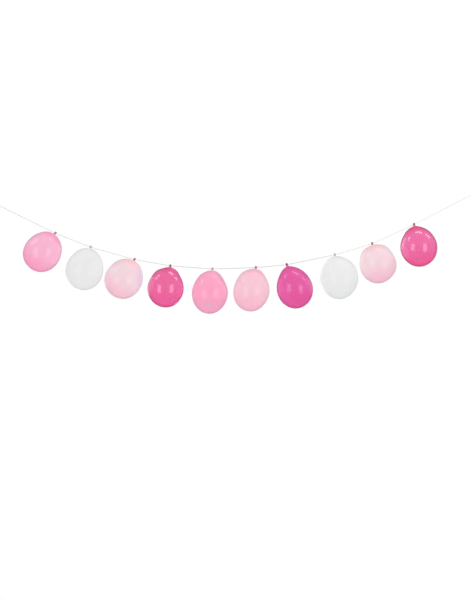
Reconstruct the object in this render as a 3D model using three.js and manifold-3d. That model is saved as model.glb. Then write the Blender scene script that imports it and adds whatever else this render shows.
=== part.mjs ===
// Balloon garland: small latex balloons threaded by their tails on one length of
// cotton twine, which ends in a tied loop at each end and hangs between two hooks.
// Millimetres, +Z up, +X along the garland, +Y away from the side it is looked at from.
// The origin is where the hook bears inside the left loop.
import * as THREE from 'three';
import { mergeVertices } from 'three/addons/utils/BufferGeometryUtils.js';
import Module from 'manifold-3d';

const wasm = await Module();
wasm.setup();

// ---- twine ----
const TWINE_D = 2.0;          // diameter of the twine
const TWINE_SIDES = 8;
const SPAN_STEP = 30;         // longest step along a straight stretch
const BEND_REACH = 9;         // each hole rounds the twine's turn over this much either side
const LOOP_LENGTH = 28;       // knot to the far end of a loop's centreline
const LOOP_RADIUS = 7;        // bend round the hook, to the centreline
const LOOP_STEPS = 9;         // steps round the half circle
const KNOT_R = 3.1;           // tied knot, across
const KNOT_HALF = 5.2;        // tied knot, half its length along the twine
const END_LENGTH = 13;        // free end left past each knot

// ---- the hung line ----
// Each balloon turns the twine upwards a little, so it hangs as straight stretches.
// `run` is the horizontal distance from the last hole (or knot), `rise` the slope on the way.
const LAST_RUN = 190.0;
const LAST_RISE = 0.519;

// ---- balloons ----
const NECK_R = 3.4;           // throat under the knot
const KNOT_BULGE_R = 4.2;     // the balloon's own knot
const KNOT_Z = -3.2;
const KNOT_TOP_Z = -1.9;
const SLEEVE_R = 3.1;         // flat tail that the twine goes through
const LIP_R = 4.0;            // rolled bead at the mouth
const LIP_Z = 3.6;
const LIP_TOP_Z = 4.8;
const HOLE_R = 1.65;          // needle hole through the tail
const FULL_LOW = 2.03;        // roundness of the lower half, 2 being an ellipse
const SHIFT_DEPTH = 22;       // the throat comes back to the body's axis over this depth
const ROUND = 20;             // facets round a balloon
const LOW_RINGS = 5;
const HIGH_RINGS = 6;

// r: greatest radius, low: bottom to widest, high: widest to shoulder, neck: shoulder to
// twine, full: roundness of the upper half, tilt: degrees the bottom swings to +X,
// shift: how far the hole sits to +X of the body's axis.
const BALLOONS = [
  { name: 'balloon_01_pink', colour: 0xfba9cd, run: 184.8, rise: -0.493, r: 56.8, low: 59.9, high: 68.7, neck: 4.0, full: 1.96, tilt: -35.3, shift: -1.6 },
  { name: 'balloon_02_white', colour: 0xeeeeee, run: 108.7, rise: -0.393, r: 57.9, low: 61.2, high: 69.5, neck: 4.0, full: 1.93, tilt: -14.5, shift: 0.5 },
  { name: 'balloon_03_pearl_pink', colour: 0xf4d3dc, run: 134.5, rise: -0.283, r: 58.4, low: 57.3, high: 68.8, neck: 4.0, full: 1.98, tilt: -27.5, shift: 1.2 },
  { name: 'balloon_04_hot_pink', colour: 0xec689f, run: 110.2, rise: -0.178, r: 54.5, low: 58.1, high: 66.6, neck: 4.0, full: 1.85, tilt: -7.7, shift: 4.7 },
  { name: 'balloon_05_bubblegum', colour: 0xfba5c6, run: 129.2, rise: -0.074, r: 54.7, low: 63.6, high: 70.2, neck: 4.0, full: 1.81, tilt: -4.5, shift: 1.7 },
  { name: 'balloon_06_light_pink', colour: 0xf8c4d6, run: 133.2, rise: 0.032, r: 54.5, low: 60.7, high: 71.4, neck: 4.0, full: 1.97, tilt: -8.6, shift: 2.8 },
  { name: 'balloon_07_magenta', colour: 0xe460a3, run: 95.5, rise: 0.093, r: 54.1, low: 63.7, high: 68.8, neck: 5.6, full: 1.71, tilt: 16.9, shift: -1.7 },
  { name: 'balloon_08_white', colour: 0xeeeeee, run: 147.1, rise: 0.207, r: 58.4, low: 63.9, high: 69.6, neck: 4.0, full: 1.87, tilt: 8.0, shift: -3.4 },
  { name: 'balloon_09_pearl_pink', colour: 0xf3d2db, run: 114.8, rise: 0.297, r: 55.8, low: 57.7, high: 63.0, neck: 4.0, full: 2.05, tilt: 15.0, shift: -0.9 },
  { name: 'balloon_10_hot_pink', colour: 0xee6ca2, run: 128.6, rise: 0.456, r: 56.1, low: 61.5, high: 63.2, neck: 5.0, full: 1.77, tilt: 9.8, shift: -2.5 },
];

// ---------------------------------------------------------------- small helpers
const smooth = (x) => { const t = Math.min(1, Math.max(0, x)); return t * t * (3 - 2 * t); };

// Strips normals and uvs and merges shared points, so that a geometry is one closed mesh.
function closed(geometry) {
  const g = geometry.index ? geometry.toNonIndexed() : geometry.clone();
  g.deleteAttribute('normal');
  g.deleteAttribute('uv');
  return mergeVertices(g, 1e-4);
}

function toSolid(geometry) {
  const g = closed(geometry);
  return new wasm.Manifold(new wasm.Mesh({
    numProp: 3,
    vertProperties: Float32Array.from(g.attributes.position.array),
    triVerts: Uint32Array.from(g.index.array),
  }));
}

function toGeometry(solid) {
  const m = solid.getMesh();
  const g = new THREE.BufferGeometry();
  const p = new Float32Array(m.numVert * 3);
  for (let i = 0; i < m.numVert; i++) {
    for (let k = 0; k < 3; k++) p[3 * i + k] = m.vertProperties[i * m.numProp + k];
  }
  g.setAttribute('position', new THREE.BufferAttribute(p, 3));
  g.setIndex(new THREE.BufferAttribute(Uint32Array.from(m.triVerts), 1));
  g.computeVertexNormals();
  return g;
}

// A curve in the XZ plane that an extrusion follows station by station.
class Stations extends THREE.Curve {
  constructor(points) { super(); this.points = points; }
  getPoint(t, target = new THREE.Vector3()) {
    const f = t * (this.points.length - 1);
    const i = Math.min(this.points.length - 2, Math.floor(f));
    return target.lerpVectors(this.points[i], this.points[i + 1], f - i);
  }
  getPointAt(u, target) { return this.getPoint(u, target); }
  getSpacedPoints(n) { return this.points.map((p) => p.clone()).slice(0, n + 1); }
  getTangentAt(u, target = new THREE.Vector3()) {
    const i = Math.round(u * (this.points.length - 1));
    const a = this.points[Math.max(0, i - 1)];
    const b = this.points[Math.min(this.points.length - 1, i + 1)];
    return target.subVectors(b, a).normalize();
  }
  getTangent(t, target) { return this.getTangentAt(t, target); }
}

function tube(points, radius, sides) {
  const section = new THREE.Shape();
  for (let k = 0; k < sides; k++) {
    const a = ((k + 0.5) / sides) * Math.PI * 2;
    const q = [radius * Math.cos(a), radius * Math.sin(a)];
    if (k === 0) section.moveTo(...q); else section.lineTo(...q);
  }
  section.closePath();
  return new THREE.ExtrudeGeometry(section, {
    steps: points.length - 1, bevelEnabled: false, curveSegments: 1, extrudePath: new Stations(points),
  });
}

// ---------------------------------------------------------------- the hung line
const at = (x, z) => new THREE.Vector3(x, 0, z);
const alongRise = (rise) => at(1, rise).normalize();

// The left loop pulls back along the first stretch, and its inner far side is the origin.
const firstDir = alongRise(BALLOONS[0].rise);
const lastDir = alongRise(LAST_RISE);
const leftKnot = firstDir.clone().multiplyScalar(LOOP_LENGTH - TWINE_D / 2);
const holes = [];
{
  let p = leftKnot.clone();
  for (const b of BALLOONS) {
    p = p.clone().add(at(b.run, b.run * b.rise));
    holes.push(p);
  }
}
const rightKnot = holes[holes.length - 1].clone().add(at(LAST_RUN, LAST_RUN * LAST_RISE));

// Straight stretches, with each turn at a hole rounded by a short arc through the hole.
function spanStations() {
  const corners = [leftKnot, ...holes, rightKnot];
  const out = [corners[0].clone()];
  for (let i = 1; i < corners.length; i++) {
    const a = corners[i - 1];
    const b = corners[i];
    const dir = b.clone().sub(a).normalize();
    const from = i === 1 ? a.clone() : a.clone().addScaledVector(dir, BEND_REACH);
    const to = i === corners.length - 1 ? b.clone() : b.clone().addScaledVector(dir, -BEND_REACH);
    if (i > 1) out.push(from);
    const n = Math.ceil(from.distanceTo(to) / SPAN_STEP);
    for (let k = 1; k <= n; k++) out.push(from.clone().lerp(to, k / n));
    if (i < corners.length - 1) out.push(b.clone());
  }
  return out;
}

// A loop's stations: out from the knot, round the hook and back. `dir` points to the hook.
function loopStations(knot, dir) {
  const side = at(-dir.z, dir.x);
  const centre = LOOP_LENGTH - LOOP_RADIUS;
  const out = [[0, -0.9], [centre * 0.30, -3.2], [centre * 0.68, -6.1]];
  for (let k = 0; k <= LOOP_STEPS; k++) {
    const a = -Math.PI / 2 + (Math.PI * k) / LOOP_STEPS;
    out.push([centre + LOOP_RADIUS * Math.cos(a), LOOP_RADIUS * Math.sin(a)]);
  }
  out.push([centre * 0.68, 6.1], [centre * 0.30, 3.2], [0, 0.9]);
  return out.map(([u, v]) => knot.clone().addScaledVector(dir, u).addScaledVector(side, v));
}

// The tied knot, a short barrel with rounded ends lying along the twine.
function knotBarrel(knot, dir) {
  const profile = [];
  const n = 6;
  for (let k = 0; k <= n; k++) {
    const a = -Math.PI / 2 + (Math.PI * k) / n;
    profile.push(new THREE.Vector2(Math.max(0, KNOT_R * Math.cos(a) ** 0.7), KNOT_HALF * Math.sin(a)));
  }
  profile[0].x = 0;
  profile[n].x = 0;
  const g = new THREE.LatheGeometry(profile, 10);
  g.applyQuaternion(new THREE.Quaternion().setFromUnitVectors(new THREE.Vector3(0, 1, 0), dir));
  g.translate(knot.x, knot.y, knot.z);
  return g;
}

// The free end left past the knot, drooping.
function freeEnd(knot, sideways) {
  const out = [];
  for (let k = 0; k <= 4; k++) {
    const t = k / 4;
    out.push(at(knot.x + sideways * (0.6 + 3.4 * t), knot.z - END_LENGTH * t - 0.4));
  }
  return out;
}

function twine() {
  const r = TWINE_D / 2 / Math.cos(Math.PI / TWINE_SIDES);
  const away = firstDir.clone().negate();
  let solid = toSolid(tube(spanStations(), r, TWINE_SIDES));
  const extras = [
    tube(loopStations(leftKnot, away), r, TWINE_SIDES),
    tube(loopStations(rightKnot, lastDir), r, TWINE_SIDES),
    knotBarrel(leftKnot, away),
    knotBarrel(rightKnot, lastDir),
    tube(freeEnd(leftKnot, 1), r, TWINE_SIDES),
    tube(freeEnd(rightKnot, -1), r, TWINE_SIDES),
  ];
  for (const e of extras) solid = solid.add(toSolid(e));
  return toGeometry(solid);
}

// ---------------------------------------------------------------- one balloon
// Radius and height of the skin, from the bottom pole up to the mouth of the tail.
function balloonProfile(b) {
  const out = [];
  const wide = -b.neck - b.high;
  for (let k = 0; k <= LOW_RINGS; k++) {
    const a = (Math.PI / 2) * (1 - k / LOW_RINGS);
    out.push([b.r * Math.cos(a) ** (2 / FULL_LOW), wide - b.low * Math.sin(a) ** (2 / FULL_LOW)]);
  }
  out[0][0] = 0;
  for (let k = 1; k <= HIGH_RINGS; k++) {
    const a = 1.44 * (k / HIGH_RINGS);
    out.push([b.r * Math.cos(a) ** (2 / b.full), wide + b.high * Math.sin(a) ** (2 / b.full)]);
  }
  const shoulder = out[out.length - 1];
  const neckZ = Math.max(shoulder[1] + 0.5, Math.min(KNOT_Z - 1.2, -b.neck + 0.2));
  out.push([NECK_R, neckZ]);
  out.push([KNOT_BULGE_R, Math.max(neckZ + 0.7, KNOT_Z)]);
  out.push([SLEEVE_R, KNOT_TOP_Z]);
  out.push([SLEEVE_R, LIP_Z - 1.4]);
  out.push([LIP_R, LIP_Z]);
  out.push([LIP_R * 0.72, LIP_TOP_Z]);
  out.push([0, LIP_TOP_Z]);
  return out;
}

function balloon(b, turnIn, turnOut) {
  const profile = balloonProfile(b).map(([x, y]) => new THREE.Vector2(x, y));
  const g = new THREE.LatheGeometry(profile, ROUND);
  g.rotateX(Math.PI / 2);
  const p = g.attributes.position;
  for (let i = 0; i < p.count; i++) {
    const depth = -p.getZ(i) - 5;
    p.setX(i, p.getX(i) - b.shift * smooth(depth / SHIFT_DEPTH));
  }
  let solid = toSolid(g);
  if (solid.volume() < 0) throw new Error(b.name + ' is inside out');
  // The needle hole follows the twine, whose direction is taken in the balloon's own frame.
  const mean = turnIn.clone().add(turnOut).normalize();
  const tilt = (b.tilt * Math.PI) / 180;
  const local = mean.applyAxisAngle(new THREE.Vector3(0, 1, 0), tilt);
  const rod = tube([local.clone().multiplyScalar(-9), local.clone().multiplyScalar(9)],
    HOLE_R / Math.cos(Math.PI / 8), 8);
  solid = solid.subtract(toSolid(rod));
  return toGeometry(solid);
}

// ---------------------------------------------------------------- assembly
const garland = new THREE.Group();
BALLOONS.forEach((b, i) => {
  const next = i + 1 < BALLOONS.length ? BALLOONS[i + 1].rise : LAST_RISE;
  const mesh = new THREE.Mesh(
    balloon(b, alongRise(b.rise), alongRise(next)),
    new THREE.MeshStandardMaterial({ color: b.colour, roughness: 0.3, metalness: 0 }),
  );
  mesh.name = b.name;
  mesh.position.copy(holes[i]);
  mesh.rotation.y = (-b.tilt * Math.PI) / 180;
  garland.add(mesh);
});

const line = new THREE.Mesh(
  twine(),
  new THREE.MeshStandardMaterial({ color: 0xe9e5dc, roughness: 0.9, metalness: 0 }),
);
line.name = 'twine';
garland.add(line);

export default garland;
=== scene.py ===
# Balloon garland: the looks. Every piece is built in millimetres and stored in metres, in the
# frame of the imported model: +X along the garland, +Y away from the viewer, +Z up.
import bpy
import math
import numpy as np
from mathutils import Matrix, Vector


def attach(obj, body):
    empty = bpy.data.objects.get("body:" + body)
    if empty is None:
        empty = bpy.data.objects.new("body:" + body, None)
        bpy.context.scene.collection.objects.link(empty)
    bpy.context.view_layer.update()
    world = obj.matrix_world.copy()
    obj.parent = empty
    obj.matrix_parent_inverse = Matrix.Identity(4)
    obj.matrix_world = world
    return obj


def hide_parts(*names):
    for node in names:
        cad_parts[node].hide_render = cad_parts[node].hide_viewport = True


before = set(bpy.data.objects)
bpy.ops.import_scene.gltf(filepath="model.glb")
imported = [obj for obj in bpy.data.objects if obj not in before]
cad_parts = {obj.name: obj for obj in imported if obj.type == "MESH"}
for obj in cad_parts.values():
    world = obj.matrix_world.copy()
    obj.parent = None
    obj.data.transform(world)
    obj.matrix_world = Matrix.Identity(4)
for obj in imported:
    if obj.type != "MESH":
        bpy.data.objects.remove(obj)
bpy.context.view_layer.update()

MM = 0.001

# ------------------------------------------------------------------ sizes, as in the CAD
TWINE_D = 2.0
LOOP_LENGTH, LOOP_RADIUS = 28.0, 7.0
BEND_REACH = 9.0
LAST_RUN, LAST_RISE = 190.0, 0.519
FULL_LOW = 2.03
SHIFT_DEPTH = 22.0
END_LENGTH = 13.0

# run, rise: the stretch of twine that leads to the hole. r, low, high, neck, full, tilt,
# shift: the balloon's own sizes. look: its material. seed: its own small irregularities.
BALLOONS = [
    dict(node="balloon_01_pink", run=184.8, rise=-0.493, r=56.8, low=59.9, high=68.7, neck=4.0, full=1.96, tilt=-35.3, shift=-1.6, look="pink", seed=11, turn=20),
    dict(node="balloon_02_white", run=108.7, rise=-0.393, r=57.9, low=61.2, high=69.5, neck=4.0, full=1.93, tilt=-14.5, shift=0.5, look="white", seed=12, turn=-35),
    dict(node="balloon_03_pearl_pink", run=134.5, rise=-0.283, r=58.4, low=57.3, high=68.8, neck=4.0, full=1.98, tilt=-27.5, shift=1.2, look="pearl_pink", seed=13, turn=65),
    dict(node="balloon_04_hot_pink", run=110.2, rise=-0.178, r=54.5, low=58.1, high=66.6, neck=4.0, full=1.85, tilt=-7.7, shift=4.7, look="hot_pink", seed=14, turn=-10),
    dict(node="balloon_05_bubblegum", run=129.2, rise=-0.074, r=54.7, low=63.6, high=70.2, neck=4.0, full=1.81, tilt=-4.5, shift=1.7, look="bubblegum", seed=15, turn=40),
    dict(node="balloon_06_light_pink", run=133.2, rise=0.032, r=54.5, low=60.7, high=71.4, neck=4.0, full=1.97, tilt=-8.6, shift=2.8, look="light_pink", seed=16, turn=-60),
    dict(node="balloon_07_magenta", run=95.5, rise=0.093, r=54.1, low=63.7, high=68.8, neck=5.6, full=1.71, tilt=16.9, shift=-1.7, look="magenta", seed=17, turn=15),
    dict(node="balloon_08_white", run=147.1, rise=0.207, r=58.4, low=63.9, high=69.6, neck=4.0, full=1.87, tilt=8.0, shift=-3.4, look="white", seed=18, turn=50),
    dict(node="balloon_09_pearl_pink", run=114.8, rise=0.297, r=55.8, low=57.7, high=63.0, neck=4.0, full=2.05, tilt=15.0, shift=-0.9, look="pearl_pink", seed=19, turn=-25),
    dict(node="balloon_10_hot_pink", run=128.6, rise=0.456, r=56.1, low=61.5, high=63.2, neck=5.0, full=1.77, tilt=9.8, shift=-2.5, look="hot_pink", seed=20, turn=30),
]


def unit(x, z):
    n = math.hypot(x, z)
    return np.array([x / n, 0.0, z / n])


# ------------------------------------------------------------------ the twine's route, in mm
first_dir, last_dir = unit(1, BALLOONS[0]["rise"]), unit(1, LAST_RISE)
left_knot = first_dir * (LOOP_LENGTH - TWINE_D / 2)
corners = [left_knot]
for b in BALLOONS:
    corners.append(corners[-1] + np.array([b["run"], 0.0, b["run"] * b["rise"]]))
corners.append(corners[-1] + np.array([LAST_RUN, 0.0, LAST_RUN * LAST_RISE]))
right_knot = corners[-1]


def span_points():
    """Straight stretches, with each turn at a hole rounded by a short curve."""
    out, mids = [corners[0]], []
    for i in range(1, len(corners)):
        a, c = corners[i - 1], corners[i]
        d = (c - a) / np.linalg.norm(c - a)
        start = a if i == 1 else a + d * BEND_REACH
        end = c if i == len(corners) - 1 else c - d * BEND_REACH
        n = max(2, int(np.linalg.norm(end - start) / 6))
        out += [start + (end - start) * k / n for k in range(1, n + 1)]
        if i < len(corners) - 1:
            e = (corners[i + 1] - c) / np.linalg.norm(corners[i + 1] - c)
            p0, p2 = c - d * BEND_REACH, c + e * BEND_REACH
            curve = [(1 - t) ** 2 * p0 + 2 * t * (1 - t) * c + t * t * p2 for t in np.linspace(0, 1, 9)[1:]]
            out += curve
            mids.append((0.25 * p0 + 0.5 * c + 0.25 * p2, (d + e) / np.linalg.norm(d + e)))
    return out, mids


def loop_points(knot, away):
    """From the knot round the hook and back. away points to the hook."""
    side = np.array([-away[2], 0.0, away[0]])
    centre = LOOP_LENGTH - LOOP_RADIUS
    rough = [(0.0, -0.9), (centre * 0.12, -1.5), (centre * 0.30, -3.2), (centre * 0.68, -6.1)]
    rough += [(centre + LOOP_RADIUS * math.cos(a), LOOP_RADIUS * math.sin(a)) for a in np.linspace(-math.pi / 2, math.pi / 2, 13)]
    rough += [(centre * 0.68, 6.1), (centre * 0.30, 3.2), (centre * 0.12, 1.5), (0.0, 0.9)]
    return [knot + away * u + side * v for u, v in rough]


def catmull(points, per=6):
    p = np.array([2 * points[0] - points[1], *points, 2 * points[-1] - points[-2]])
    out = []
    for i in range(1, len(p) - 2):
        for k in range(per):
            t = k / per
            out.append(0.5 * (2 * p[i] + (p[i + 1] - p[i - 1]) * t + (2 * p[i - 1] - 5 * p[i] + 4 * p[i + 1] - p[i + 2]) * t * t
                              + (3 * p[i] - p[i - 1] - 3 * p[i + 1] + p[i + 2]) * t ** 3))
    out.append(p[-2])
    return out


span, holes = span_points()
left_loop = catmull(loop_points(left_knot, -first_dir))
right_loop = catmull(loop_points(right_knot, last_dir))
route = np.array(left_loop + [left_knot + first_dir * 3.0] + [p for p in span if np.linalg.norm(p - left_knot) > 6 and np.linalg.norm(p - right_knot) > 6]
                 + [right_knot - last_dir * 3.0] + right_loop[::-1])


def spaced(line, step):
    along = np.concatenate([[0], np.cumsum(np.linalg.norm(np.diff(line, axis=0), axis=1))])
    at = np.linspace(0, along[-1], max(2, int(math.ceil(along[-1] / step)) + 1))
    return np.stack([np.interp(at, along, line[:, k]) for k in range(3)], axis=1), along[-1]


# ------------------------------------------------------------------ camera
# It looks along +Y, with a long lens, and its view is 1.446 m wide at the garland.
cam_data = bpy.data.cameras.new("camera")
cam_data.lens = 100.0
cam_data.sensor_width = 36.0
cam = bpy.data.objects.new("camera", cam_data)
bpy.context.scene.collection.objects.link(cam)
VIEW_HIGH = 1.842
cam.location = (0.76255, -VIEW_HIGH * cam_data.lens / cam_data.sensor_width, -0.30815)
cam.rotation_euler = (math.pi / 2, 0, 0)
bpy.context.scene.camera = cam


# ------------------------------------------------------------------ mesh helpers
def make_object(name, verts, faces, material=None, smooth=True):
    mesh = bpy.data.meshes.new(name)
    mesh.from_pydata([tuple(v) for v in verts], [], faces)
    mesh.update()
    if smooth:
        mesh.polygons.foreach_set("use_smooth", [True] * len(mesh.polygons))
    obj = bpy.data.objects.new(name, mesh)
    bpy.context.scene.collection.objects.link(obj)
    if material is not None:
        mesh.materials.append(material)
    return obj


def lathe(rings, n, close_low=True, close_high=True):
    """Closed surface from rings of n points each, given as (m, n, 3)."""
    m = len(rings)
    verts = [tuple(p) for ring in rings for p in ring]
    faces = []
    for j in range(m - 1):
        for i in range(n):
            k = (i + 1) % n
            faces.append((j * n + i, j * n + k, (j + 1) * n + k, (j + 1) * n + i))
    if close_low:
        verts.append(tuple(np.mean(rings[0], axis=0)))
        c = len(verts) - 1
        faces += [(c, (i + 1) % n, i) for i in range(n)]
    if close_high:
        verts.append(tuple(np.mean(rings[-1], axis=0)))
        c = len(verts) - 1
        faces += [(c, (m - 1) * n + i, (m - 1) * n + (i + 1) % n) for i in range(n)]
    return verts, faces


def tube(line, radius, sides=14, up=None, squash=1.0):
    """A round tube with rounded ends along points, radius a number or one per point."""
    line = np.array(line, float)
    radius = np.broadcast_to(np.array(radius, float), (len(line),))
    tangent = np.gradient(line, axis=0)
    tangent /= np.linalg.norm(tangent, axis=1)[:, None]
    if up is None:
        up = np.array([0.0, 1.0, 0.0]) if abs(tangent[0][1]) < 0.9 else np.array([1.0, 0.0, 0.0])
    rings, n0 = [], np.array(up, float)
    for p, t, r in zip(line, tangent, radius):
        n0 = n0 - t * n0.dot(t)
        n0 = n0 / np.linalg.norm(n0)
        b0 = np.cross(t, n0)
        rings.append([p + r * (math.cos(a) * n0 + squash * math.sin(a) * b0) for a in np.arange(sides) * 2 * math.pi / sides])
    rings = [np.array(r) for r in rings]
    lead = [line[0] - tangent[0] * radius[0] * k for k in (0.95, 0.6)]
    tail = [line[-1] + tangent[-1] * radius[-1] * k for k in (0.6, 0.95)]
    first = [l + (rings[0] - line[0]) * s for l, s in zip(lead, (0.31, 0.8))]
    last = [l + (rings[-1] - line[-1]) * s for l, s in zip(tail, (0.8, 0.31))]
    return lathe(first + rings + last, sides)


def joined(parts):
    verts, faces = [], []
    for v, f in parts:
        base = len(verts)
        verts += list(v)
        faces += [tuple(i + base for i in q) for q in f]
    return verts, faces


def ring_torus(centre, major_a, major_b, minor, tilt=(0, 0), wave=0.0, waves=3, phase=0.0, n=48, sides=14):
    """A closed elliptical ring round Z, tilted by two small angles, wavy in height."""
    verts, faces = [], []
    rot = Matrix.Rotation(tilt[0], 3, "X") @ Matrix.Rotation(tilt[1], 3, "Y")
    for i in range(n):
        a = 2 * math.pi * i / n
        out = np.array([math.cos(a), math.sin(a), 0.0])
        for j in range(sides):
            b = 2 * math.pi * j / sides
            p = np.array([major_a * math.cos(a), major_b * math.sin(a), wave * math.sin(waves * a + phase)])
            p = p + minor * (math.cos(b) * out + math.sin(b) * np.array([0, 0, 1.0]))
            verts.append(tuple(np.array(rot @ Vector(p)) + np.array(centre)))
    for i in range(n):
        for j in range(sides):
            i2, j2 = (i + 1) % n, (j + 1) % sides
            faces.append((i * sides + j, i2 * sides + j, i2 * sides + j2, i * sides + j2))
    return verts, faces


def evaluated(obj):
    """The points and faces of an object with its modifiers applied; the object is removed."""
    dg = bpy.context.evaluated_depsgraph_get()
    e = obj.evaluated_get(dg)
    m = e.to_mesh()
    verts = np.zeros(len(m.vertices) * 3)
    m.vertices.foreach_get("co", verts)
    faces = [tuple(p.vertices) for p in m.polygons]
    e.to_mesh_clear()
    data = obj.data
    bpy.data.objects.remove(obj)
    bpy.data.meshes.remove(data)
    return verts.reshape(-1, 3), faces


# ------------------------------------------------------------------ one balloon
AROUND = 144

# Where each balloon is a little fuller or flatter than its plain outline, as hand-blown ones
# are: (direction in degrees round its middle, 0 to the right and 90 up, reach in degrees, mm).
UNEVEN = {
    "balloon_01_pink": [(58, 18, 1.6)],
    "balloon_02_white": [(125, 30, -1.3), (215, 30, -1.2), (-20, 35, -1.0)],
    "balloon_03_pearl_pink": [(132, 20, -1.5), (75, 14, 1.5), (195, 25, -1.3), (-50, 30, -2.6), (-110, 30, -0.9)],
    "balloon_04_hot_pink": [(178, 30, 1.8), (105, 28, 2.0), (0, 30, 0.9), (-55, 28, 0.8)],
    "balloon_05_bubblegum": [(38, 20, -1.3), (110, 20, 1.2), (-45, 25, -0.9)],
    "balloon_06_light_pink": [(0, 22, 1.3), (-45, 28, -1.1), (102, 22, 1.5), (52, 16, -1.3)],
    "balloon_07_magenta": [(-10, 38, 1.6), (180, 28, 0.4), (222, 22, 1.0), (-105, 30, 1.1), (55, 18, 0.9)],
    "balloon_08_white": [(215, 24, -1.4), (-45, 30, -2.3), (110, 20, -1.5), (32, 14, 1.5)],
    "balloon_09_pearl_pink": [(112, 32, 2.4), (75, 16, 1.4), (145, 22, 0.9), (38, 18, -1.5), (-50, 26, -2.1)],
    "balloon_10_hot_pink": [(-35, 34, 1.5), (-95, 35, 1.1), (200, 28, 0.9)],
}


def body_profile(b):
    """(radius, height) from the bottom pole up to where the throat goes into the knot."""
    wide = -b["neck"] - b["high"]
    out = []
    for a in np.linspace(math.pi / 2, 0, 58)[1:]:
        out.append((b["r"] * math.cos(a) ** (2 / FULL_LOW), wide - b["low"] * math.sin(a) ** (2 / FULL_LOW)))
    join = 11.0
    a_join = math.acos(min(1.0, (join / b["r"])) ** (b["full"] / 2))
    for a in np.linspace(0, a_join, 60)[1:]:
        out.append((b["r"] * math.cos(a) ** (2 / b["full"]), wide + b["high"] * math.sin(a) ** (2 / b["full"])))
    p0, p1 = np.array(out[-1]), np.array([2.7, -3.3])
    t0 = p0 - np.array(out[-2])
    t0 = t0 / np.linalg.norm(t0) * np.linalg.norm(p1 - p0) * 1.15
    t1 = np.array([0.0, 1.0]) * 4.6
    for t in np.linspace(0, 1, 26)[1:]:
        h = [2 * t ** 3 - 3 * t ** 2 + 1, t ** 3 - 2 * t ** 2 + t, -2 * t ** 3 + 3 * t ** 2, t ** 3 - t ** 2]
        out.append(tuple(h[0] * p0 + h[1] * t0 + h[2] * p1 + h[3] * t1))
    out.append((2.3, -2.9))
    return np.array(out)


def balloon_body(b):
    prof = body_profile(b)
    rng = np.random.default_rng(b["seed"])
    angle = np.arange(AROUND) * 2 * math.pi / AROUND
    normal = np.gradient(prof, axis=0)
    normal = np.stack([normal[:, 1], -normal[:, 0]], axis=1)
    normal /= np.linalg.norm(normal, axis=1)[:, None]
    # pleats that run into the throat, of uneven depth and length
    pleat = np.zeros((len(prof), AROUND))
    count = 15
    places = (np.arange(count) + rng.uniform(-0.28, 0.28, count)) * 2 * math.pi / count
    for place in places:
        long, deep, sharp = rng.uniform(5.0, 12.5), rng.uniform(0.12, 0.34), rng.uniform(0.10, 0.17)
        away = np.abs((angle - place + math.pi) % (2 * math.pi) - math.pi)
        up = prof[:, 1] > -b["neck"] - b["high"] * 0.5
        along = np.where(up, np.exp(-(((prof[:, 0] - 3.0) / long).clip(0) ** 2)), 0.0)
        pleat -= deep * along[:, None] * np.exp(-((away / sharp) ** 2))[None, :]
    # broad unevenness of the skin
    lump = np.zeros_like(pleat)
    height = (prof[:, 1] - prof[0, 1]) / (prof[-1, 1] - prof[0, 1])
    for k, size in ((2, 0.45), (3, 0.28), (4, 0.16)):
        ph, qh = rng.uniform(0, 2 * math.pi, 2)
        lump += size * np.cos(k * angle[None, :] + ph + 2.2 * height[:, None]) * np.sin(math.pi * height[:, None]) ** 1.5 * (0.7 + 0.3 * math.cos(qh))
    # fuller and flatter places
    tilt = math.radians(b["tilt"])
    c_x, c_y = prof[:, :1] * np.cos(angle)[None, :], prof[:, :1] * np.sin(angle)[None, :]
    c_z = np.repeat(prof[:, 1:] + b["neck"] + b["high"], AROUND, axis=1)
    far = np.sqrt(c_x ** 2 + c_y ** 2 + c_z ** 2)
    for toward, reach, amount in UNEVEN[b["node"]]:
        e = math.radians(toward)
        along_e = (c_x * math.cos(tilt) - c_z * math.sin(tilt)) * math.cos(e) + (c_x * math.sin(tilt) + c_z * math.cos(tilt)) * math.sin(e)
        off = np.arccos(np.clip(along_e / far, -1, 1)) / math.radians(reach)
        lump += amount * np.exp(-off ** 2) * ((-prof[:, 1] - 7.0) / 12.0).clip(0, 1)[:, None]
    move = pleat + lump
    # the shoulder is drawn up a little more on one side of the knot
    depth = (-prof[:, 1] - 5.0) / SHIFT_DEPTH
    s = depth.clip(0, 1)
    sideways = -b["shift"] * s * s * (3 - 2 * s)
    rings = []
    for j, (r, z) in enumerate(prof):
        rr = r + normal[j, 0] * move[j]
        zz = z + normal[j, 1] * move[j]
        rings.append(np.stack([rr * np.cos(angle) + sideways[j], rr * np.sin(angle), zz], axis=1))
    return lathe(rings, AROUND)


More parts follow.
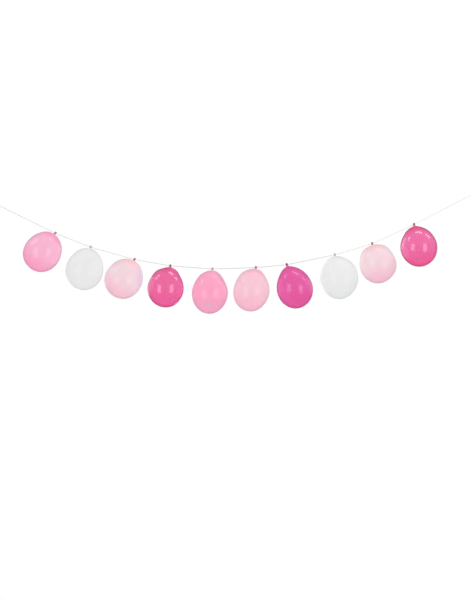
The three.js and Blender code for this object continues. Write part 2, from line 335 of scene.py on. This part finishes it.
def tail_and_knot(b, hole_at, hole_dir):
    """The balloon's own knot, its tail and the rolled bead round its mouth, in mm."""
    rng = np.random.default_rng(b["seed"] + 100)
    turn = math.radians(b["turn"])
    parts = []
    # two turns of the stretched throat, one crossing the other
    parts.append(ring_torus((0, 0, -2.95), 2.5, 2.3, 1.42, tilt=(0.20, 0.10)))
    cross = []
    for k in np.linspace(0, 1, 30):
        a = -0.7 + 4.6 * k
        cross.append((2.55 * math.cos(a), 2.35 * math.sin(a), -3.75 + 2.0 * k + 0.25 * math.sin(6 * k)))
    parts.append(tube(cross, np.interp(np.linspace(0, 1, 30), [0, 0.2, 0.8, 1], [0.8, 1.28, 1.28, 0.9])))
    ball = [[(2.7 * math.cos(p) * math.cos(a), 2.7 * math.cos(p) * math.sin(a), -2.9 + 2.0 * math.sin(p)) for a in np.linspace(0, 2 * math.pi, 24, endpoint=False)]
            for p in np.linspace(-1.5, 1.5, 13)]
    parts.append(lathe([np.array(r) for r in ball], 24))
    # the tail, a flattened sleeve with soft folds that flares up to its mouth
    rings = []
    fold = rng.uniform(0, 2 * math.pi, 3)
    zs = np.linspace(-2.9, 3.55, 26)
    for z in zs:
        k = (z + 2.9) / 6.45
        wide = np.interp(k, [0, 0.25, 0.6, 1.0], [2.1, 2.55, 2.95, 3.05])
        thin = np.interp(k, [0, 0.25, 0.6, 1.0], [2.0, 2.15, 2.10, 2.25])
        a = np.linspace(0, 2 * math.pi, 48, endpoint=False)
        fade = math.sin(math.pi * min(1.0, k * 1.15)) ** 0.7 if k < 0.87 else 0.25
        f = 1 + fade * (0.060 * np.sin(5 * a + fold[0] + 1.1 * k) + 0.045 * np.sin(8 * a + fold[1] - 0.9 * k) + 0.03 * np.sin(2 * a + fold[2]))
        rings.append(np.stack([wide * f * np.cos(a), thin * f * np.sin(a), np.full_like(a, z)], axis=1))
    parts.append(lathe(rings, 48))
    parts.append(ring_torus((0, 0, 3.72), 2.95, 2.15, 0.78, tilt=(0.06, -0.08), wave=0.22, waves=2, phase=fold[0], n=56))
    # the flat of the tail is turned a little on each balloon, and it leans
    lean = math.radians(rng.uniform(-7, 7))
    verts, faces = joined(parts)
    v = np.array(verts)
    high = ((v[:, 2] + 2.5) / 6.0).clip(0, 1.2)
    spin = turn * 0.35 * high
    x, y = v[:, 0] * np.cos(spin) - v[:, 1] * np.sin(spin), v[:, 0] * np.sin(spin) + v[:, 1] * np.cos(spin)
    v[:, 0], v[:, 1] = x + high * 3.0 * math.sin(lean), y
    # a raised rim of stretched latex at each mouth of the needle hole
    side = np.array([-hole_dir[2], 0.0, hole_dir[0]])
    rims = []
    for sign in (-1, 1):
        line = []
        for a in np.linspace(0, 2 * math.pi, 29)[:-1]:
            p = hole_at + 1.62 * (math.cos(a) * np.array([0, 1.0, 0]) + math.sin(a) * side)
            reach = sign * np.interp(abs(math.cos(a)), [0, 1], [2.62, 2.25])
            line.append(p + hole_dir * reach)
        rims.append(closed_tube(line, 0.42))
    verts, faces = joined([(list(map(tuple, v)), faces)] + rims)
    shell = make_object("tail_work", verts, faces, smooth=False)
    # cutters: the needle hole, and the mouth of the tail
    rod = tube([hole_at - hole_dir * 8, hole_at + hole_dir * 8], 1.24, sides=28)
    mouth = []
    for z, k in ((2.15, 0.30), (2.4, 0.62), (2.9, 0.80), (3.6, 0.88), (4.4, 1.05), (5.6, 1.25)):
        a = np.linspace(0, 2 * math.pi, 36, endpoint=False)
        hh = min(1.2, (z + 2.5) / 6.0)
        sp = turn * 0.35 * hh
        mx, my = 2.3 * k * np.cos(a), 1.45 * k * np.sin(a)
        mouth.append(np.stack([mx * math.cos(sp) - my * math.sin(sp) + hh * 3.0 * math.sin(lean), mx * math.sin(sp) + my * math.cos(sp), np.full_like(a, z)], axis=1))
    cutter = make_object("cut_work", *joined([rod, lathe(mouth, 36)]), smooth=False)
    for kind in ("join", "cut", "clean", "soft"):
        if kind in ("join", "clean"):
            m = shell.modifiers.new(kind, "REMESH")
            m.mode, m.voxel_size = "VOXEL", 0.2 if kind == "join" else 0.23
        elif kind == "cut":
            m = shell.modifiers.new(kind, "BOOLEAN")
            m.operation, m.solver, m.object = "DIFFERENCE", "EXACT", cutter
        else:
            m = shell.modifiers.new(kind, "SMOOTH")
            m.factor, m.iterations = 0.5, 3
    out = evaluated(shell)
    data = cutter.data
    bpy.data.objects.remove(cutter)
    bpy.data.meshes.remove(data)
    return out


def closed_tube(line, radius, sides=10):
    line = np.array(line, float)
    n = len(line)
    centre = line.mean(axis=0)
    verts, faces = [], []
    for i in range(n):
        t = line[(i + 1) % n] - line[i - 1]
        t /= np.linalg.norm(t)
        u = line[i] - centre
        u -= t * u.dot(t)
        u /= np.linalg.norm(u)
        w = np.cross(t, u)
        for j in range(sides):
            a = 2 * math.pi * j / sides
            verts.append(tuple(line[i] + radius * (math.cos(a) * u + math.sin(a) * w)))
    for i in range(n):
        for j in range(sides):
            i2, j2 = (i + 1) % n, (j + 1) % sides
            faces.append((i * sides + j, i * sides + j2, i2 * sides + j2, i2 * sides + j))
    return verts, faces


# ------------------------------------------------------------------ materials
def srgb(r, g, b):
    return tuple((c / 255 / 12.92 if c <= 10.31 else ((c / 255 + 0.055) / 1.055) ** 2.4) for c in (r, g, b)) + (1.0,)


class Tree:
    def __init__(self, name):
        self.mat = bpy.data.materials.new(name)
        self.mat.use_nodes = True
        self.nodes, self.links = self.mat.node_tree.nodes, self.mat.node_tree.links
        self.bsdf = self.nodes["Principled BSDF"]

    def node(self, kind, **sets):
        n = self.nodes.new(kind)
        for k, v in sets.items():
            setattr(n, k, v)
        return n

    def put(self, socket, value):
        if isinstance(value, bpy.types.NodeSocket):
            self.links.new(value, socket)
        else:
            socket.default_value = value

    def math(self, op, a, b=0.0, c=0.0, clamp=False):
        n = self.node("ShaderNodeMath", operation=op, use_clamp=clamp)
        for s, v in zip(n.inputs, (a, b, c)):
            self.put(s, v)
        return n.outputs[0]

    def step(self, value, low, high, out_low=0.0, out_high=1.0, kind="SMOOTHSTEP"):
        n = self.node("ShaderNodeMapRange", interpolation_type=kind, clamp=True)
        for s, v in zip(n.inputs[:5], (value, low, high, out_low, out_high)):
            self.put(s, v)
        return n.outputs[0]

    def mix(self, factor, a, b, blend="MIX"):
        n = self.node("ShaderNodeMix", data_type="RGBA", blend_type=blend, clamp_factor=True)
        for s, v in ((n.inputs[0], factor), (n.inputs[6], a), (n.inputs[7], b)):
            self.put(s, v)
        return n.outputs[2]

    def noise(self, vector, scale, detail=2.0, rough=0.5):
        n = self.node("ShaderNodeTexNoise", noise_dimensions="3D")
        self.put(n.inputs["Vector"], vector)
        n.inputs["Scale"].default_value = scale
        n.inputs["Detail"].default_value = detail
        n.inputs["Roughness"].default_value = rough
        return n.outputs[0]


LOOKS = {
    # base: most of the skin. deep: the bottom. top: round the knot. tail: unstretched latex, darkened further with
    # painted shade of the knot and its folds
    "balloon_01_pink": dict(base=(239, 177, 203), deep=(238, 148, 184), top=(250, 160, 197), tail=(150, 62, 92)),
    "balloon_02_white": dict(base=(226, 225, 226), deep=(222, 222, 222), top=(228, 228, 228), tail=(150, 150, 150)),
    "balloon_03_pearl_pink": dict(base=(233, 208, 216), deep=(236, 182, 197), top=(252, 193, 198), tail=(128, 72, 84)),
    "balloon_04_hot_pink": dict(base=(229, 100, 156), deep=(230, 80, 148), top=(226, 80, 139), tail=(112, 54, 72)),
    "balloon_05_bubblegum": dict(base=(244, 159, 191), deep=(234, 157, 188), top=(241, 167, 193), tail=(170, 124, 138)),
    "balloon_06_light_pink": dict(base=(238, 193, 206), deep=(238, 176, 196), top=(245, 174, 198), tail=(132, 74, 90)),
    "balloon_07_magenta": dict(base=(222, 88, 160), deep=(220, 75, 149), top=(219, 81, 148), tail=(78, 26, 54)),
    "balloon_08_white": dict(base=(227, 227, 227), deep=(219, 220, 220), top=(225, 224, 223), tail=(150, 150, 150)),
    "balloon_09_pearl_pink": dict(base=(235, 210, 216), deep=(232, 179, 198), top=(238, 190, 196), tail=(128, 72, 84)),
    "balloon_10_hot_pink": dict(base=(230, 107, 162), deep=(231, 78, 142), top=(218, 72, 129), tail=(112, 34, 62)),
}
# how strongly a painted lilac sheen tints one side of each pearl balloon
PEARL_LILAC_SHEEN = {"balloon_03_pearl_pink": 0.70, "balloon_09_pearl_pink": 0.15}
# how strong a painted reflection is on some: a greyer patch low on the side facing the camera
FRONT_GREY_REFLECTION = {"balloon_04_hot_pink": 0.35, "balloon_05_bubblegum": 1.0, "balloon_10_hot_pink": 0.8}
# how the skin shines: satin, pearl or gloss
FINISH = {
    "pink": dict(rough=0.42, spec=0.25, coat=0.48, coat_rough=0.20, skin=0.08),
    "white": dict(rough=0.50, spec=0.25, coat=0.14, coat_rough=0.24, skin=0.10),
    "pearl_pink": dict(rough=0.42, spec=0.25, coat=0.24, coat_rough=0.24, skin=0.08),
    "hot_pink": dict(rough=0.34, spec=0.20, coat=1.0, coat_rough=0.07, skin=0.04),
    "bubblegum": dict(rough=0.42, spec=0.25, coat=0.45, coat_rough=0.17, skin=0.08),
    "light_pink": dict(rough=0.42, spec=0.25, coat=0.32, coat_rough=0.21, skin=0.08),
    "magenta": dict(rough=0.36, spec=0.20, coat=0.55, coat_rough=0.13, skin=0.05),
}


def latex(b):
    look, finish = LOOKS[b["node"]], FINISH[b["look"]]
    t = Tree("latex_" + b["node"][8:])
    bsdf = t.bsdf
    pos = t.node("ShaderNodeTexCoord").outputs["Object"]
    sep = t.node("ShaderNodeSeparateXYZ")
    t.put(sep.inputs[0], pos)
    x, y, z = sep.outputs
    low = -(b["neck"] + b["high"] + b["low"]) * MM
    # colour from the thick bottom to the drawn-up shoulder
    base = t.mix(t.step(z, low, low + 0.075, 1.0, 0.0), srgb(*look["base"]), srgb(*look["deep"]))
    r2 = t.math("ADD", t.math("MULTIPLY", x, x), t.math("MULTIPLY", y, y))
    radius = t.math("SQRT", r2)
    base = t.mix(t.step(z, -0.034, -0.008, 0.0, 0.85), base, srgb(*look["top"]))
    if b["look"] == "pearl_pink":
        # painted pearl sheen: a lilac tint towards one side
        tilt = math.radians(b["tilt"])
        drop = (b["neck"] + b["high"]) * MM
        across = t.math("SUBTRACT", t.math("MULTIPLY", x, math.cos(tilt)), t.math("MULTIPLY", t.math("ADD", z, drop), math.sin(tilt)))
        side = t.step(across, b["r"] * 0.62 * MM, b["r"] * 1.02 * MM, 0.0, PEARL_LILAC_SHEEN[b["node"]])
        base = t.mix(side, base, srgb(214, 187, 217))
        # painted pearl sheen: a paler warm patch on the upper middle
        pearl_sheen_patch = t.math("MULTIPLY", t.step(radius, 0.004, 0.046, 1.0, 0.0), t.step(z, -0.062, -0.018, 0.0, 0.35))
        base = t.mix(pearl_sheen_patch, base, srgb(240, 224, 216))
    # thick spot at the bottom pole
    spot = t.math("MULTIPLY", t.step(radius, 0.0015, 0.0048, 0.5, 0.0), t.step(z, low + 0.004, low + 0.008, 1.0, 0.0))
    base = t.mix(spot, base, srgb(*[int(c * 0.80) for c in look["deep"]]))
    # on some, a greyer patch low on the front, facing the camera: a painted reflection
    if b["node"] in FRONT_GREY_REFLECTION:
        up = t.math("DIVIDE", t.math("SUBTRACT", z, low + b["low"] * 0.41 * MM), 0.0065)
        out = t.math("DIVIDE", t.math("ADD", x, 0.003), 0.016)
        near = t.step(t.math("ADD", t.math("MULTIPLY", up, up), t.math("MULTIPLY", out, out)), 0.0, 1.7, FRONT_GREY_REFLECTION[b["node"]], 0.0)
        near = t.math("MULTIPLY", near, t.step(y, -0.02, 0.0, 1.0, 0.0))
        base = t.mix(near, base, (0.86, 1.12, 1.0, 1.0), "MULTIPLY")
    # uneven stretch: soft clouds, faint streaks down the skin, fine mottle
    cloud = t.noise(pos, 26.0, 3.0, 0.55)
    base = t.mix(t.step(cloud, 0.35, 0.68, 0.0, 0.10), base, srgb(*look["deep"]))
    squeeze = t.node("ShaderNodeMapping")
    t.put(squeeze.inputs["Vector"], pos)
    squeeze.inputs["Scale"].default_value = (230.0, 230.0, 9.0)
    streak = t.noise(squeeze.outputs[0], 1.0, 3.0, 0.6)
    dark = tuple(c * 0.86 for c in srgb(*look["base"])[:3]) + (1.0,)
    base = t.mix(t.step(streak, 0.45, 0.75, 0.0, 0.16), base, dark)
    mottle = t.noise(pos, 700.0, 2.0, 0.6)
    base = t.mix(t.step(mottle, 0.35, 0.70, 0.0, 0.10), base, dark)
    # unstretched latex of the knot and tail is darker and stronger in colour, and darker still with painted shade of
    # the knot and its folds
    knot = t.step(z, -0.0044, -0.0022)
    near = t.step(radius, 0.0042, 0.0085, 1.0, 0.0)
    knot_noise = t.noise(pos, 900.0, 3.0, 0.6)
    tail = t.mix(t.step(knot_noise, 0.3, 0.7, 0.0, 0.35), srgb(*look["tail"]), tuple(c * 1.7 for c in srgb(*look["tail"])[:3]) + (1.0,))
    base = t.mix(t.math("MULTIPLY", knot, near), base, tail)
    t.put(bsdf.inputs["Base Color"], base)
    rough = t.step(t.noise(pos, 120.0, 3.0, 0.6), 0.3, 0.7, finish["rough"] - 0.04, finish["rough"] + 0.06, kind="LINEAR")
    t.put(bsdf.inputs["Roughness"], rough)
    bsdf.inputs["IOR"].default_value = 1.5
    bsdf.inputs["Specular IOR Level"].default_value = finish["spec"]
    bsdf.inputs["Coat Weight"].default_value = finish["coat"]
    bsdf.inputs["Coat Roughness"].default_value = finish["coat_rough"]
    bsdf.inputs["Coat IOR"].default_value = 1.5
    bsdf.inputs["Subsurface Weight"].default_value = 0.35
    bsdf.inputs["Subsurface Radius"].default_value = (0.75, 0.75, 0.75) if b["look"] == "white" else (1.0, 0.55, 0.65)
    bsdf.inputs["Subsurface Scale"].default_value = 0.018
    # fine skin: orange peel and the faint streaks
    bump = t.node("ShaderNodeBump")
    bump.inputs["Strength"].default_value = finish["skin"]
    bump.inputs["Distance"].default_value = 0.0004
    skin = t.math("ADD", t.noise(pos, 420.0, 3.0, 0.5), t.math("MULTIPLY", streak, 0.5))
    t.put(bump.inputs["Height"], skin)
    t.links.new(bump.outputs[0], bsdf.inputs["Normal"])
    return t.mat


def cotton():
    t = Tree("cotton_twine")
    pos = t.node("ShaderNodeTexCoord").outputs["Object"]
    fibre = t.node("ShaderNodeMapping")
    t.put(fibre.inputs["Vector"], pos)
    fibre.inputs["Scale"].default_value = (900.0, 2600.0, 2600.0)
    a = t.noise(fibre.outputs[0], 1.0, 3.0, 0.65)
    c = t.noise(pos, 160.0, 3.0, 0.6)
    base = t.mix(t.step(a, 0.3, 0.7), srgb(200, 200, 197), srgb(232, 232, 229))
    base = t.mix(t.step(c, 0.4, 0.7, 0.0, 0.35), base, srgb(208, 207, 202))
    # painted shade: darker in the grooves between the plies
    crest = t.node("ShaderNodeAttribute", attribute_name="crest").outputs["Fac"]
    base = t.mix(t.step(crest, 0.0, 0.75, 0.62, 0.0), base, srgb(120, 117, 110))
    # painted shade, a little greyer along the middle of the line, and painted light, paler towards its right end
    along = t.node("ShaderNodeSeparateXYZ")
    t.put(along.inputs[0], pos)
    middle = t.math("MULTIPLY", t.step(along.outputs[0], 0.40, 0.60, 0.0, 0.24), t.step(along.outputs[0], 0.90, 1.10, 1.0, 0.0))
    base = t.mix(middle, base, srgb(130, 129, 126))
    base = t.mix(t.step(along.outputs[0], 1.0, 1.2, 0.0, 0.28), base, srgb(250, 250, 249))
    t.put(t.bsdf.inputs["Base Color"], base)
    t.bsdf.inputs["Roughness"].default_value = 0.92
    t.bsdf.inputs["Sheen Weight"].default_value = 0.25
    bump = t.node("ShaderNodeBump")
    bump.inputs["Strength"].default_value = 0.5
    bump.inputs["Distance"].default_value = 0.0003
    t.put(bump.inputs["Height"], a)
    t.links.new(bump.outputs[0], t.bsdf.inputs["Normal"])
    return t.mat


cotton_mat = cotton()


# ------------------------------------------------------------------ the twine
def ply_radius(phi):
    """Outline of three plies laid together, for a twine of radius 1."""
    c, p = 0.42, 0.58
    d = (phi + math.pi / 3) % (2 * math.pi / 3) - math.pi / 3
    return c * math.cos(d) + math.sqrt(max(0.0, p * p - (c * math.sin(d)) ** 2))


def twisted(line, radius=TWINE_D / 2, lay=9.0, sides=18, step=0.5, start=0.0, taper=0.0):
    """A three-ply twisted line. Its points turn with the lay, so the mesh follows the plies."""
    pts, total = spaced(np.array(line), step)
    tangent = np.gradient(pts, axis=0)
    tangent /= np.linalg.norm(tangent, axis=1)[:, None]
    rings, n0 = [], None
    outline = np.array([ply_radius(2 * math.pi * k / sides) for k in range(sides)])
    for i, (p, tg) in enumerate(zip(pts, tangent)):
        if n0 is None:
            n0 = np.array([0.0, 1.0, 0.0]) if abs(tg[1]) < 0.9 else np.array([1.0, 0.0, 0.0])
        n0 = n0 - tg * n0.dot(tg)
        n0 = n0 / np.linalg.norm(n0)
        b0 = np.cross(tg, n0)
        s = total * i / (len(pts) - 1)
        spin = start + 2 * math.pi * s / lay
        a = 2 * math.pi * np.arange(sides) / sides + spin
        r = radius * outline
        rings.append(p + (r * np.cos(a))[:, None] * n0 + (r * np.sin(a))[:, None] * b0)
    ends = [rings[0] * 0.45 + pts[0] * 0.55 - tangent[0] * 0.3 * radius]
    tail = [rings[-1] * 0.45 + pts[-1] * 0.55 + tangent[-1] * 0.3 * radius]
    crest = (outline - outline.min()) / (outline.max() - outline.min())
    return lathe(ends + rings + tail, sides), pts, total, np.concatenate([np.tile(crest, len(rings) + 2), [0.6, 0.6]])


def mark_crests(obj, values):
    """Keeps, at each point, how far up a ply it is: 0 in the groove between two plies, 1 on the crest."""
    layer = obj.data.attributes.new("crest", "FLOAT", "POINT")
    layer.data.foreach_set("value", np.array(values, dtype=np.float32))


(tw_verts, tw_faces), tw_line, tw_long, tw_crest = twisted(route)
twine = make_object("twine_line", np.array(tw_verts) * MM, tw_faces, cotton_mat)
mark_crests(twine, tw_crest)
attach(twine, "root")
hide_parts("twine")


def loop_knot(name, knot, away, droop):
    """Four snug turns round both strands, with the cut end teased out below."""
    side = np.array([-away[2], 0.0, away[0]])
    depth = np.array([0.0, 1.0, 0.0])
    turns, line = 3.6, []
    for k in np.linspace(0, 1, 150):
        a = 2 * math.pi * turns * k
        swell = 1 + 0.06 * math.sin(math.pi * k)
        line.append(knot + away * (-4.1 + 8.2 * k) + swell * 2.05 * (1.12 * math.cos(a) * side + 0.98 * math.sin(a) * depth))
    strands = [twisted(line, 0.98, step=0.45)]
    down = np.array([0.0, 0.0, -1.0])
    end = []
    for k in np.linspace(0, 1, 24):
        end.append(knot + np.array([droop * (0.5 + 3.0 * k), -0.6 * k, 0.0]) + down * (0.2 + (END_LENGTH - 3.4) * k))
    strands.append(twisted(end, 0.98, step=0.45, start=0.7))
    parts = [s[0] for s in strands]
    crest = np.concatenate([s[3] for s in strands])
    rng = np.random.default_rng(abs(int(knot[0])) + 5)
    tip, heading = np.array(end[-1]), (np.array(end[-1]) - np.array(end[-3]))
    heading /= np.linalg.norm(heading)
    for _ in range(16):
        spread = rng.normal(0, 0.34, 3)
        d = heading + spread
        d /= np.linalg.norm(d)
        bend = rng.normal(0, 0.5, 3)
        base = tip - heading * 0.9 + rng.normal(0, 0.3, 3)
        long = rng.uniform(2.4, 4.4)
        fibre = [base + d * long * k + bend * k * k for k in np.linspace(0, 1, 7)]
        parts.append(tube(fibre, np.linspace(0.13, 0.035, 7), sides=6))
    verts, faces = joined(parts)
    obj = make_object(name, np.array(verts) * MM, faces, cotton_mat)
    mark_crests(obj, np.concatenate([crest, np.full(len(verts) - len(crest), 0.8)]))
    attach(obj, "root")
    return obj


knots = [loop_knot("loop_knot_left", left_knot, -first_dir, 1.0), loop_knot("loop_knot_right", right_knot, last_dir, -1.0)]

# ------------------------------------------------------------------ the balloons
for i, b in enumerate(BALLOONS):
    place, run_dir = holes[i]
    corner = corners[i + 1]
    tilt = math.radians(b["tilt"])
    # the balloon's own frame: its hole at its origin, its bottom down -Z
    turn = np.array([[math.cos(tilt), 0, math.sin(tilt)], [0, 1, 0], [-math.sin(tilt), 0, math.cos(tilt)]])
    hole_at = turn @ (place - corner)
    hole_dir = turn @ run_dir
    body_v, body_f = balloon_body(b)
    tail_v, tail_f = tail_and_knot(b, hole_at, hole_dir)
    verts, faces = joined([(body_v, body_f), (list(map(tuple, tail_v)), tail_f)])
    obj = make_object(b["node"][:10] + "_" + b["look"] + "_skin", np.array(verts) * MM, faces, latex(b))
    obj.matrix_world = Matrix.Translation(Vector(corner) * MM) @ Matrix.Rotation(-tilt, 4, "Y")
    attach(obj, "root")
    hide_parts(b["node"])
    obj.visible_diffuse = False  # no colour thrown from one balloon to the next

# ------------------------------------------------------------------ studio
FLOOR_Z = -1.62
FRONT_LIGHT, BACK_LIGHT, LOW_LIGHT, HIGH_LIGHT = 0.735, 1.05, 1.14, 0.82
floor_verts, floor_faces = [], []
rings = [np.array([[0.763 + r * math.cos(a), r * math.sin(a), FLOOR_Z] for a in np.linspace(0, 2 * math.pi, 96, endpoint=False)]) for r in (2.1, 1.6, 1.0, 0.4)]
floor = make_object("studio_floor", *lathe(rings, 96, close_low=False), smooth=False)
ft = Tree("studio_floor")
fpos = ft.node("ShaderNodeTexCoord").outputs["Object"]
fsep = ft.node("ShaderNodeSeparateXYZ")
ft.put(fsep.inputs[0], fpos)
fx = ft.math("SUBTRACT", fsep.outputs[0], 0.763)
fr = ft.math("SQRT", ft.math("ADD", ft.math("MULTIPLY", fx, fx), ft.math("MULTIPLY", fsep.outputs[1], fsep.outputs[1])))
ft.bsdf.inputs["Base Color"].default_value = srgb(246, 246, 245)
ft.bsdf.inputs["Roughness"].default_value = 0.9
ft.bsdf.inputs["Emission Color"].default_value = (1, 1, 1, 1)
ft.bsdf.inputs["Emission Strength"].default_value = 0.12
ft.put(ft.bsdf.inputs["Alpha"], ft.step(fr, 1.1, 2.05, 1.0, 0.0))
floor.data.materials.append(ft.mat)
floor.visible_diffuse = floor.visible_glossy = False

world = bpy.data.worlds.new("studio")
bpy.context.scene.world = world
world.use_nodes = True
world.cycles.sampling_method = "NONE"
wn, wl = world.node_tree.nodes, world.node_tree.links
wn.clear()
coord, wsep = wn.new("ShaderNodeTexCoord"), wn.new("ShaderNodeSeparateXYZ")
wl.new(coord.outputs["Generated"], wsep.inputs[0])


def wmap(socket, low, high, out_low, out_high):
    n = wn.new("ShaderNodeMapRange")
    n.interpolation_type = "SMOOTHSTEP"
    for s, v in zip(n.inputs[1:5], (low, high, out_low, out_high)):
        s.default_value = v
    wl.new(socket, n.inputs[0])
    return n.outputs[0]


def wtimes(a, b):
    n = wn.new("ShaderNodeMath")
    n.operation = "MULTIPLY"
    wl.new(a, n.inputs[0])
    wl.new(b, n.inputs[1])
    return n.outputs[0]


def wlight(strength):
    n = wn.new("ShaderNodeBackground")
    n.inputs[0].default_value = (1, 1, 1, 1)
    if isinstance(strength, float):
        n.inputs[1].default_value = strength
    else:
        wl.new(strength, n.inputs[1])
    return n.outputs[0]


def wpick(flag, yes, no):
    n = wn.new("ShaderNodeMixShader")
    wl.new(path.outputs[flag], n.inputs[0])
    wl.new(no, n.inputs[1])
    wl.new(yes, n.inputs[2])
    return n.outputs[0]


# The room is white where the camera sees it. Its light is even all round, a little weaker
# from in front and from above and a little stronger from below, and its reflection is that of a grey room.
path = wn.new("ShaderNodeLightPath")
even = wtimes(wtimes(wmap(wsep.outputs[1], -0.9, 0.3, FRONT_LIGHT, BACK_LIGHT), wmap(wsep.outputs[2], -0.8, 0.0, LOW_LIGHT, 1.0)),
              wmap(wsep.outputs[2], 0.1, 0.9, 1.0, HIGH_LIGHT))
mirrored = wmap(wsep.outputs[1], 0.05, 0.68, 0.40, 0.05)
out = wn.new("ShaderNodeOutputWorld")
wl.new(wpick("Is Camera Ray", wlight(1.0), wpick("Is Glossy Ray", wlight(mirrored), wlight(even))), out.inputs[0])


def softbox(name, azimuth, elevation, distance, wide, high, radiance, target=(0.763, 0.0, -0.2), up=(0, 0, 1)):
    """An area light. Azimuth 0 is the camera's side and 90 is +X; radiance is what it shines per unit of its face."""
    a, e = math.radians(azimuth), math.radians(elevation)
    back = Vector((math.sin(a) * math.cos(e), -math.cos(a) * math.cos(e), math.sin(e)))
    data = bpy.data.lights.new(name, "AREA")
    data.shape, data.size, data.size_y = "RECTANGLE", wide, high
    data.energy = radiance * math.pi * wide * high
    obj = bpy.data.objects.new(name, data)
    bpy.context.scene.collection.objects.link(obj)
    obj.location = Vector(target) + back * distance
    across = Vector(up).cross(back).normalized()
    obj.rotation_euler = Matrix((across, back.cross(across), back)).transposed().to_euler()
    obj.visible_camera = False
    return obj


def panel(name, place, wide, high, radiance, target=(0.763, 0.0, -0.2), up=(0, 0, 1)):
    """The same, set down at a place. up is what its high side lies along, as near as it can."""
    back = Vector(place) - Vector(target)
    d = back.length
    return softbox(name, math.degrees(math.atan2(back.x, -back.y)), math.degrees(math.asin(back.z / d)), d, wide, high, radiance, target, up)


softbox("strip_left", -39, -2, 5.0, 2.4, 4.2, 1.75)
softbox("strip_right", 39, -2, 5.0, 2.4, 4.2, 1.75)
panel("top_middle", (0.763 + 0.56, -0.2, 1.45), 0.95, 0.30, 5.0, up=(0, 1, 0))
panel("top_left", (0.763 - 2.2, -0.2, 1.85), 1.0, 0.42, 6.0, up=(0, 1, 0))
panel("top_right", (0.763 + 1.73, 0.0, 1.1), 0.55, 0.30, 4.8, up=(0, 1, 0))
panel("rim_left", (0.763 - 0.9, 0.9, -0.2), 0.35, 0.6, 1.1)
panel("rim_right", (0.763 + 0.9, 0.9, -0.2), 0.35, 0.6, 0.35)
# the bright middles of the two front lights, seen only as reflections
for core in (softbox("core_left", -39, -2, 4.9, 1.5, 2.9, 1.45), softbox("core_right", 39, -2, 4.9, 1.6, 3.0, 1.5)):
    core.visible_diffuse = False
# two paler stretches of wall behind the middle, seen only in the glossy rims that face them
for wall in (panel("wall_right", (0.93, 0.27, -0.15), 0.35, 0.5, 1.2, target=(2.0, 0.27, -0.15)),
             panel("wall_left", (0.64, 0.27, -0.2), 0.30, 0.5, 0.9, target=(-1.0, 0.27, -0.2))):
    wall.visible_diffuse = False

scene = bpy.context.scene
scene.view_settings.view_transform = "Standard"
scene.view_settings.look = "None"
scene.cycles.max_bounces = 6
